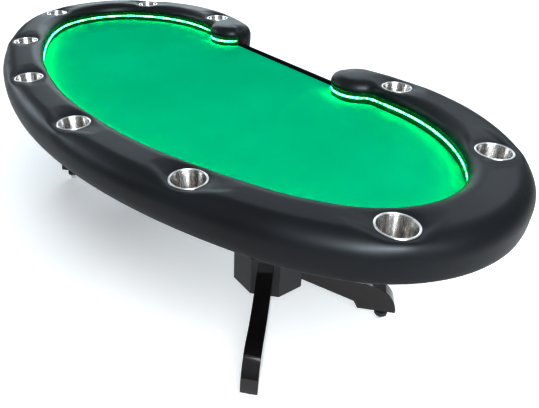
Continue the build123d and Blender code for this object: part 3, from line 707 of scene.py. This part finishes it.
def build_pad():
    """The rail's padding as one closed skin: rounded edges, flat top, padded side, lip and cup holes."""
    points, normals, first_wall, last_wall = whole_outline(CLOTH_BACK + GAP)
    count = len(points)
    sizes = corner_sizes(points, first_wall, last_wall)
    verts, faces, pins = [], [], []

    def add_ring(members, inset, height):
        """Adds one point for each member of the outline, at inset(k) and height(k)."""
        start = len(verts)
        for k in members:
            x, y = points[k] - normals[k] * inset(k)
            verts.append([x, y, height(k)])
        return list(range(start, start + len(members)))

    def strip(low, high, closed):
        """Faces between two rings of as many points. Going along low, high is on the fronts' left."""
        for k in range(len(low) if closed else len(low) - 1):
            n = (k + 1) % len(low)
            faces.append((low[k], low[n], high[n], high[k]))

    everyone = range(count)
    rings = []
    for number in range(CORNER_STEPS + 1):
        share = number / CORNER_STEPS
        rings.append(add_ring(
            everyone,
            lambda k: sizes[k][0] * (1 - cos(sizes[k][2] * share)),
            lambda k: PAD_TOP - sizes[k][1] * (1 - sin(sizes[k][2] * share)),
        ))
    for low, high in zip(rings, rings[1:]):
        strip(low, high, True)
    foot_ring = rings[0]

    outline_tree = tree_of(points)

    def natural_height(x, y):
        """Height of the padding's top at (x, y), away from the cups."""
        _, k, _ = outline_tree.find((x, y, 0))
        edge = (points[k][0] - x) * normals[k][0] + (points[k][1] - y) * normals[k][1]
        short = max(0.0, 1 - edge / sizes[k][0])
        return PAD_TOP - sizes[k][1] * (1 - sqrt(max(0.0, 1 - short * short)))

    # top, with rings of points round each cup
    top_loop = [tuple(verts[k][:2]) for k in rings[-1]]
    edge_tree = tree_of(top_loop)
    seats = [ring(c, SEAT_RADIUS, 96) for c in cup_centres]
    inner = []
    for c in cup_centres:
        for radius, number in SEAT_RINGS:
            inner += [p for p in ring(c, radius, number) if depth_inside(edge_tree, normals, *p) > 0.0025]
    inner += [
        p for p in lattice(LATTICE)
        if depth_inside(edge_tree, normals, *p) > LATTICE * 0.6 and cup_distance(*p) > SEAT_CLEAR
    ]
    numbers = list(rings[-1])
    for loop in [*seats, inner]:
        numbers += range(len(verts), len(verts) + len(loop))
        for x, y in loop:
            verts.append([x, y, natural_height(x, y)])
    faces += [[numbers[k] for k in face] for face in fill_plan([top_loop, *seats], inner)]
    seat_rings = []
    start = len(rings[-1])
    for seat in seats:
        seat_rings.append(numbers[start:start + len(seat)])
        start += len(seat)
    for vert in verts:
        x, y, z = vert
        share = max(0.0, min(1.0, (z - (PAD_TOP - 0.03)) / 0.03))
        uneven = 0.0005 * wobble(x, y, 0.11, 2) + 0.0009 * wobble(x, y, 0.35, 5)
        held = draw_down(x, y)
        vert[2] = z + share * (CROWN + uneven) * (1 - held) + pucker(x, y) * share + (SEAT_TOP - z) * held

    # padded side, round the outside and in the dealer gap
    outside = [*range(last_wall, count), *range(first_wall + 1)]

    def side_inset(k, inset):
        """inset, more where the padded side ends in the dealer gap, so that its end is rounded."""
        near = max(0.0, min(1.0, 1 + sizes[k][3] / END_ROUND))
        return min(SKIRT_T, inset + 0.8 * END_ROUND * (1 - sqrt(1 - near * near)))

    side = [foot_ring[k] for k in outside]
    upper = side
    foot_z = PAD_TOP - OUTER_CORNER[1]
    profile = []
    for z in np.linspace(foot_z - 0.006, SKIRT_BOTTOM + 0.0045, 8):
        profile.append((UNDERCUT * ((foot_z - z) / (foot_z - SKIRT_BOTTOM)) ** 2, z))
    profile += [(UNDERCUT + 0.0001, SKIRT_BOTTOM + 0.0020), (UNDERCUT + 0.0010, SKIRT_BOTTOM + 0.0006)]
    profile += [(UNDERCUT + 0.0024, SKIRT_BOTTOM), (SKIRT_T, SKIRT_BOTTOM + 0.0006)]
    side_rings = [upper]
    for inset, z in profile:
        lower = add_ring(outside, lambda k: side_inset(k, inset), lambda k: z)
        strip(lower, upper, False)
        side_rings.append(lower)
        upper = lower
    pins += upper
    hidden = add_ring(outside, lambda k: SKIRT_T, lambda k: LIP_BOTTOM)
    strip(hidden, upper, False)
    side_rings.append(hidden)

    # lip over the inner wall
    inside = list(range(first_wall, last_wall + 1))
    upper = [foot_ring[k] for k in inside]
    lip_rings = [upper]
    for inset, rise in ((0.0, 0.0036), (0.0003, 0.0022), (0.0009, 0.0010), (0.0018, 0.0003), (LIP, 0.0)):
        z = LIP_BOTTOM + rise
        lower = add_ring(inside, lambda k: inset, lambda k: z)
        strip(lower, upper, False)
        lip_rings.append(lower)
        upper = lower
    pins += upper

    # upright ends of the padded side
    for position, flip in ((-1, True), (0, False)):
        loop = [r[position] for r in side_rings] + [r[-1 - position] for r in reversed(lip_rings[1:])]
        faces.append(loop if flip else loop[::-1])

    # cup holes and the hidden underside
    hole_rings = []
    for centre, seat in zip(cup_centres, seat_rings):
        upper = seat
        pins += seat
        size = len(seat)
        levels = [
            (radius, [verts[above][2] - drop for above in seat])
            for radius, drop in ((0.0478, 0.0006), (HOLE_RADIUS + 0.0006, 0.0016), (HOLE_RADIUS, 0.0035))
        ]
        for radius, heights in [*levels, (HOLE_RADIUS, [LIP_BOTTOM] * size)]:
            lower = list(range(len(verts), len(verts) + size))
            verts.extend([x, y, z] for (x, y), z in zip(ring(centre, radius, size), heights))
            pins += lower
            strip(upper, lower, True)
            upper = lower
        hole_rings.append(lower)
    base_loop = hidden + lip_rings[-1]
    pins += base_loop
    base_numbers = base_loop + [k for loop in hole_rings for k in loop]
    base = fill_plan([[tuple(verts[k][:2]) for k in loop] for loop in [base_loop, *hole_rings]], [])
    faces += [[base_numbers[k] for k in reversed(face)] for face in base]

    for k, (x, y, z) in enumerate(verts):
        if z < PAD_TOP - 0.02 and abs(y - CLOTH_BACK) < END_HELD and abs(x) < BULB_X:
            pins.append(k)
    piece = make_object("padded_rail", verts, faces, MATERIALS["vinyl"], 50)
    relax(piece, sorted(set(pins)))
    return piece


rail = stand_for(build_pad(), "rail_pad", "table")


# ---------------------------------------------------------------- playing cloth
def cloth_plan(inset):
    """Closed outline of the cloth: the oval moved in by inset, the bulbs, and straight across the gap."""
    half = []
    for cx, cy, radius, heading, turn in ARCS:
        half += [p[:2] for p in arc(cx, cy, radius - inset, heading - 90, heading + turn - 90, 1, 0.012)]
    sweep = SWEEP_RADIUS - inset
    half += [p[:2] for p in arc(SHOULDER_X, BACK_Y - SWEEP_RADIUS, sweep, 90, 90 + SWEEP_TURN, 1, 0.012)]
    bulb = BULB_RADIUS - inset
    dip = asin((BULB_Y - CLOTH_BACK) / bulb)
    half += [p[:2] for p in arc(BULB_X, BULB_Y, bulb, 90 + SWEEP_TURN, 180 + degrees(dip), 1, 0.008)]
    half += [p[:2] for p in run(BULB_X - bulb * cos(dip), 0, CLOTH_BACK, 1, 0.02)]
    other = [(-x, y) for x, y in reversed(half[1:])]
    return half + [(0, CLOTH_BACK)] + other


def plan_area(loop):
    """Area inside a closed loop of points."""
    return abs(sum(a[0] * b[1] - b[0] * a[1] for a, b in zip(loop, loop[1:] + loop[:1]))) / 2


def build_cloth():
    """The stretched cloth, with the thickness that the CAD part gives it."""
    loop = cloth_plan(SKIRT_T + 0.002)
    size = len(loop)
    polygon_tree = tree_of(loop)
    outward = []
    for k, (x, y) in enumerate(loop):
        ax, ay = loop[k - 1]
        bx, by = loop[(k + 1) % size]
        length = hypot(bx - ax, by - ay)
        outward.append(((by - ay) / length, -(bx - ax) / length))
    inner = [p for p in lattice(0.03) if depth_inside(polygon_tree, outward, *p) > 0.012]
    plan = list(loop) + inner
    triangles = fill_plan([loop], inner)
    verts = [(x, y, CLOTH_TOP) for x, y in plan] + [(x, y, CLOTH_BOTTOM) for x, y in plan]
    under = len(plan)
    faces = list(triangles) + [[k + under for k in reversed(face)] for face in triangles]
    for k in range(size):
        n = (k + 1) % size
        faces.append((k + under, n + under, n, k))
    return make_object("playing_cloth", verts, faces, MATERIALS["green_cloth"], 50), plan_area(loop)


cloth, cloth_area = build_cloth()
stand_for(cloth, "speed_cloth", "table")


# ---------------------------------------------------------------- lights in the rail
CHIP_PITCH = 1 / 60
CHIP_SIZE = 0.005
TAPE_FACE = LIP + 0.0012  # inset of the tape's face
TAPE_BACK = LIP + 0.0021
CHIP_FACE = LIP + 0.0003


def strip_line():
    """The line of the light strip in plan: points and normals, from the right bulb round to the left."""
    points, normals, first, last = whole_outline(STRIP_HIGH.y)
    return points[first:last + 1], normals[first:last + 1]


def build_tape():
    """The tape that carries the chips: a thin strip with bevelled edges."""
    points, normals = strip_line()
    half = (STRIP_HIGH.z - STRIP_LOW.z) / 2
    section = [
        (TAPE_FACE, half - 0.0004), (TAPE_FACE + 0.0004, half), (TAPE_BACK, half),
        (TAPE_BACK, -half), (TAPE_FACE + 0.0004, -half), (TAPE_FACE, -half + 0.0004),
    ]
    verts, faces = [], []
    for point, normal in zip(points, normals):
        for inset, rise in section:
            verts.append((*(point - normal * inset), STRIP_Z + rise))
    size = len(section)
    for k in range(len(points) - 1):
        for j in range(size):
            i = (j + 1) % size
            faces.append((k * size + j, (k + 1) * size + j, (k + 1) * size + i, k * size + i))
    last = (len(points) - 1) * size
    faces.append(list(range(size)))
    faces.append([last + j for j in reversed(range(size))])
    return make_object("light_tape", verts, faces, MATERIALS["light_strip"], 50)


def along_strip(pitch, offset):
    """Places at even spacing along the strip: point, normal and tangent."""
    points, normals = strip_line()
    steps = np.hypot(*(points[1:] - points[:-1]).T)
    along = np.concatenate([[0], np.cumsum(steps)])
    number = int((along[-1] - 2 * offset) / pitch)
    first = (along[-1] - number * pitch) / 2
    for k in range(number + 1):
        spot = first + k * pitch
        at = np.array([np.interp(spot, along, points[:, axis]) for axis in (0, 1)])
        normal = np.array([np.interp(spot, along, normals[:, axis]) for axis in (0, 1)])
        normal /= np.hypot(*normal)
        yield at, normal, np.array((-normal[1], normal[0]))


def blocks_on_strip(name, pitch, offset, shift, width, height, back, front, finish, taper=0.8):
    """Small parts on the tape: blocks with a tapered face, one at each place along the strip."""
    verts, faces = [], []
    for at, normal, tangent in along_strip(pitch, offset):
        start = len(verts)
        for inset, scale in ((back, 1), (front + (back - front) * 0.35, 1), (front, taper)):
            for sx, sz in ((-1, -1), (1, -1), (1, 1), (-1, 1)):
                spot = at - normal * inset + tangent * (shift + sx * width / 2 * scale)
                verts.append((*spot, STRIP_Z + sz * height / 2 * scale))
        for low in (start, start + 4):
            for k in range(4):
                n = (k + 1) % 4
                faces.append((low + k, low + n, low + 4 + n, low + 4 + k))
        faces.append([start + 8 + k for k in range(4)])
        faces.append([start + k for k in (3, 2, 1, 0)])
    return make_object(name, verts, faces, finish, 30)


stand_for(build_tape(), "led_strip", "table")
chips = blocks_on_strip(
    "light_chips", CHIP_PITCH, 0.006, 0, CHIP_SIZE, CHIP_SIZE, TAPE_FACE, CHIP_FACE, chip_glow
)
resistors = blocks_on_strip(
    "light_resistors", 3 * CHIP_PITCH, 0.03, CHIP_PITCH / 2, 0.0028, 0.0014, TAPE_FACE, LIP + 0.0007,
    MATERIALS["black_plastic"],
)
for piece, slot in ((chips, "light_strip"), (resistors, "black_plastic")):
    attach(piece, "table")


# ---------------------------------------------------------------- cups
CUP_INNER = 0.0430  # radius inside the rim
CUP_OUTER = 0.0440  # radius of the wall under the rim


def build_cup(name, node):
    """A drop-in cup: rolled rim, tapered wall, dished floor."""
    low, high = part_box(node)
    rim = (high.x - low.x) / 2
    top = high.z
    outline = [
        (0.0, low.z + 0.0011), (0.0300, low.z + 0.0011), (0.0398, low.z + 0.0018),
        (CUP_INNER, top - 0.0016),
    ]
    inside = curve(outline, [0.004, 0.006])
    rolled = [
        (CUP_INNER + 0.0002, top - 0.0011), (CUP_INNER + 0.0009, top - 0.0003),
        (CUP_INNER + 0.0021, top),
        (CUP_INNER + 0.0035, top - 0.0001), (rim - 0.0009, top - 0.0006), (rim - 0.0002, top - 0.0011),
        (rim, top - 0.0015), (rim - 0.0003, top - 0.0018), (rim - 0.0012, top - 0.0018),
        (CUP_OUTER + 0.0007, top - 0.0019), (CUP_OUTER, top - 0.0026),
    ]
    outside = curve(
        [(CUP_OUTER, top - 0.0026), (0.0410, low.z + 0.0012), (0.0395, low.z), (0.0, low.z)], [0.002, 0.001]
    )
    profile = inside + rolled + outside[1:]
    return turned(name, node, MATERIALS["cup_steel"], profile[::-1], 96)


for node in CUP_NODES:
    number = node.rsplit("_", 1)[1]
    stand_for(build_cup(f"steel_cup_{number}", node), node, f"cup_{number}")


# ---------------------------------------------------------------- levelers
THREAD_PITCH = 0.0015
THREAD_CREST, THREAD_ROOT = 0.0050, 0.0043  # radii
KNURLS = 28
KNURL_STEPS = 6  # points to each knurl
KNURL_DEPTH = 0.0010


def build_leveler_screw(name, node):
    """A screw foot: bright glide, shoulder for the knob, and a stem that is threaded inside the leg."""
    low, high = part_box(node)
    glide = (high.x - low.x) / 2
    knob_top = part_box(node.replace("screw", "knob"))[1].z
    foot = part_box(node.replace("leveler_screw", "leg"))[0].z
    profile = curve(
        [(0.0, 0.0), (0.0110, 0.0), (glide, 0.0034), (glide, 0.0130), (0.0085, 0.0236), (0.0052, 0.0240)],
        [0.0008, 0.0014, 0.0040, 0.0020],
    )
    profile += [(0.0050, knob_top), (0.0080, knob_top), (0.0085, knob_top + 0.0005)]
    profile += [(0.0085, foot - 0.0005), (0.0080, foot)]
    z = foot + 0.0006
    while z < high.z - 0.002:
        profile += [(THREAD_CREST, z), (THREAD_ROOT, z + THREAD_PITCH / 2)]
        z += THREAD_PITCH
    profile += [(0.0042, high.z - 0.0008), (0.0036, high.z), (0.0, high.z)]
    return turned(name, node, MATERIALS["leveler_steel"], profile, 40)


def build_leveler_knob(name, node):
    """A round knob with scalloped grips."""
    low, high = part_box(node)
    radius = (high.x - low.x) / 2

    def grip(k, r, z):
        """Hollows in the knob's outer wall."""
        return r - KNURL_DEPTH * (0.5 + 0.5 * cos(tau * k / KNURL_STEPS)) if r > radius - 0.003 else r

    outline = [
        (0.0051, high.z - 0.0004), (0.0120, high.z), (radius, high.z),
        (radius, low.z), (0.0120, low.z + 0.0002), (0.0051, low.z + 0.0004),
    ]
    profile = curve(outline, [0.002, 0.0022, 0.0022, 0.002])
    plastic = MATERIALS["black_plastic"]
    return turned(name, node, plastic, profile[::-1], KNURLS * KNURL_STEPS, closed=True, wave=grip)


for side in ("left", "right"):
    for depth in ("front", "back"):
        way = f"{depth}_{side}"
        screw = build_leveler_screw(f"foot_screw_{way}", f"leveler_screw_{way}")
        stand_for(screw, f"leveler_screw_{way}", f"leveler_{way}")
        knob = build_leveler_knob(f"foot_knob_{way}", f"leveler_knob_{way}")
        stand_for(knob, f"leveler_knob_{way}", f"leveler_{way}")


# ---------------------------------------------------------------- room, lights and camera
FLOOR_HALF = 14.0


def make_floor():
    """Plain pale floor that glows a little, more towards +X."""
    made, tree, surface = shader("floor", Roughness=0.8, Specular_IOR_Level=0.0)
    patches = cloudy(tree, place(tree), 1.5, 3)
    join(tree, colours(tree, patches, (0.3, (0.86, 0.86, 0.86)), (0.7, (0.88, 0.88, 0.88))),
         surface, "Base Color")
    surface.inputs["Emission Color"].default_value = (1, 1, 1, 1)
    across = one_axis(tree, place(tree), "X")
    join(tree, between(tree, across, 0.26, 0.55, -0.3, 0.9), surface, "Emission Strength")
    corners = [(x * FLOOR_HALF, y * FLOOR_HALF, 0) for x, y in ((-1, -1), (1, -1), (1, 1), (-1, 1))]
    make_object("floor", corners, [(0, 1, 2, 3)], made)


def make_world():
    """Soft grey surroundings, darker near the horizon."""
    world = bpy.data.worlds.new("studio")
    bpy.context.scene.world = world
    world.use_nodes = True
    tree = world.node_tree
    direction = tree.nodes.new("ShaderNodeTexCoord").outputs["Generated"]
    tone = colours(
        tree, one_axis(tree, direction, "Z"), (0.0, (0.30, 0.33, 0.35)), (0.18, (0.42, 0.47, 0.50)),
        (0.45, (0.62, 0.68, 0.73)), (1.0, (0.75, 0.79, 0.83)),
    )
    tree.links.new(tone, tree.nodes["Background"].inputs["Color"])
    tree.nodes["Background"].inputs["Strength"].default_value = 1.0


def soft_light(name, place_at, aim, size, power, colour=(1, 1, 1), sheen_only=False):
    """A rectangular light. With sheen_only it shows in shiny surfaces but lights nothing else."""
    light = bpy.data.lights.new(name, "AREA")
    light.shape = "RECTANGLE"
    light.size, light.size_y = size
    light.energy = power
    light.color = colour
    lamp = bpy.data.objects.new(name, light)
    bpy.context.scene.collection.objects.link(lamp)
    lamp.location = place_at
    lamp.rotation_mode = "QUATERNION"
    lamp.rotation_quaternion = (Vector(aim) - Vector(place_at)).to_track_quat("-Z", "Y")
    lamp.visible_diffuse = not sheen_only
    return lamp


CAMERA_AT = Vector((1.6116, -0.9040, 1.4012))
CAMERA_YAW = -0.9894
CAMERA_PITCH = 0.51064
CAMERA_ROLL = -0.00167
CAMERA_LENS = 35.67
CAMERA_SHIFT = (0.0897, -0.0770)


def make_camera():
    """Looks down across the table from beyond its right front."""
    ahead = Vector((
        cos(CAMERA_PITCH) * sin(CAMERA_YAW), cos(CAMERA_PITCH) * cos(CAMERA_YAW), -sin(CAMERA_PITCH)
    ))
    right = Vector((cos(CAMERA_YAW), -sin(CAMERA_YAW), 0))
    up = right.cross(ahead)
    rolled_right = cos(CAMERA_ROLL) * right + sin(CAMERA_ROLL) * up
    rolled_up = cos(CAMERA_ROLL) * up - sin(CAMERA_ROLL) * right
    turn = Matrix((rolled_right, rolled_up, -ahead)).transposed()
    camera = bpy.data.objects.new("camera", bpy.data.cameras.new("camera"))
    bpy.context.scene.collection.objects.link(camera)
    camera.location = CAMERA_AT
    camera.rotation_mode = "QUATERNION"
    camera.rotation_quaternion = turn.to_quaternion()
    camera.data.sensor_width = 36
    camera.data.lens = CAMERA_LENS
    camera.data.shift_x, camera.data.shift_y = CAMERA_SHIFT
    camera.data.clip_end = 60
    bpy.context.scene.camera = camera


STRIP_WATTS = 1.8  # to each metre of the strip
GREEN = (0.02, 1.0, 0.30)


def strip_lights(spacing=0.09):
    """The light that the strip sheds, as a row of flat lights just in front of its chips."""
    for number, (at, normal, _) in enumerate(along_strip(spacing, 0.05)):
        spot = Vector((*(at - normal * (CHIP_FACE - 0.0005)), STRIP_Z))
        inward = Vector((-normal[0], -normal[1], -0.25))
        watts = STRIP_WATTS * spacing
        lamp = soft_light(f"strip_light_{number}", spot, spot + inward, (spacing, 0.004), watts, GREEN)
        lamp.visible_camera = False


make_floor()
make_world()
soft_light("key", (3.0, -1.2, 3.8), (-0.2, 0, 0.4), (2.2, 2.2), 125)
soft_light("back_bank", (-5.2, 3.4, 2.5), (-0.6, 0.2, 0.75), (5.5, 1.7), 155, (0.84, 0.95, 1.0))
COOL = (0.84, 0.93, 1.0)
soft_light("left_bank", (-4.2, -3.0, 2.2), (0, -0.6, 0.75), (3.2, 0.5), 120, COOL, sheen_only=True)
soft_light("far_bank", (-0.2, 2.9, 2.9), (1.0, -0.1, 0.75), (1.6, 1.5), 27, COOL, sheen_only=True)
soft_light(
    "near_bank", (4.15, -1.5, 2.8), (1.05, -0.2, 0.74), (1.8, 0.4), 520, (0.80, 0.91, 1.0), sheen_only=True
)
strip_lights()
make_camera()
bpy.context.scene.view_settings.view_transform = "Standard"
bpy.context.scene.view_settings.gamma = 0.78
